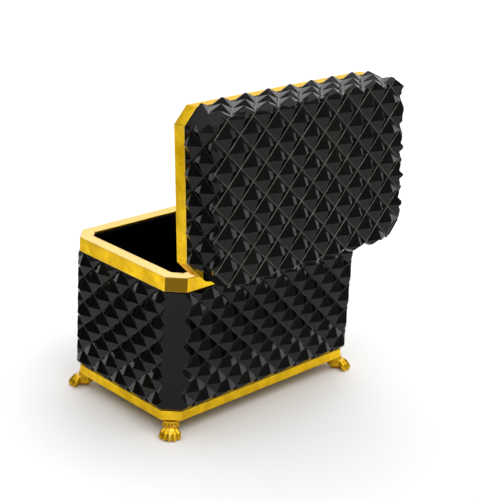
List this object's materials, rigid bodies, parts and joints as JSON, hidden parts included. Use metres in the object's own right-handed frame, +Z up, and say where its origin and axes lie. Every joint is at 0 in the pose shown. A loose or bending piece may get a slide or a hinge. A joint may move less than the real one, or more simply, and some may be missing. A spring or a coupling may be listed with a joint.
{
  "type": "glass casket",
  "caption": "Keepsake casket of diamond-cut black glass with gilt metal rim, base band and paw feet, and a hinged hollow glass lid that stands open on its stop.",
  "frame": {"origin": "on the surface that the feet stand on, under the centre of the open casket's box", "axes": "+Z up, X along the casket's length, +Y towards the hinged back side"},
  "size_m": [0.1722, 0.1383, 0.2128],
  "materials": {
    "black_glass": "opaque, polished, cut with diamond points",
    "gilt_metal": "gilt, satin polish",
    "gilt_casting": "cast and gilt",
    "bedding_plaster": "matt"
  },
  "bodies": {
    "casket": {"body_glass": "black_glass", "body_rim": "gilt_metal", "rim_bedding": "bedding_plaster", "base_band": "gilt_metal", "base_bedding": "bedding_plaster", "foot_front_left": "gilt_casting", "foot_front_right": "gilt_casting", "foot_back_left": "gilt_casting", "foot_back_right": "gilt_casting", "hinge_leaf_body": "gilt_metal", "hinge_pin": "gilt_metal", "hinge_rivet_body_1": "gilt_metal", "hinge_rivet_body_2": "gilt_metal", "hinge_rivet_body_3": "gilt_metal"},
    "lid": {"lid_glass": "black_glass", "lid_frame": "gilt_metal", "lid_bedding": "bedding_plaster", "hinge_leaf_lid": "gilt_metal", "hinge_rivet_lid_1": "gilt_metal", "hinge_rivet_lid_2": "gilt_metal", "hinge_rivet_lid_3": "gilt_metal"}
  },
  "joints": [
    {"name": "lid_hinge", "type": "hinge", "parent": "casket", "child": "lid", "pos_m": [0, 0.0361, 0.1071], "axis": [1, 0, 0], "range_deg": [0, 85]}
  ]
}
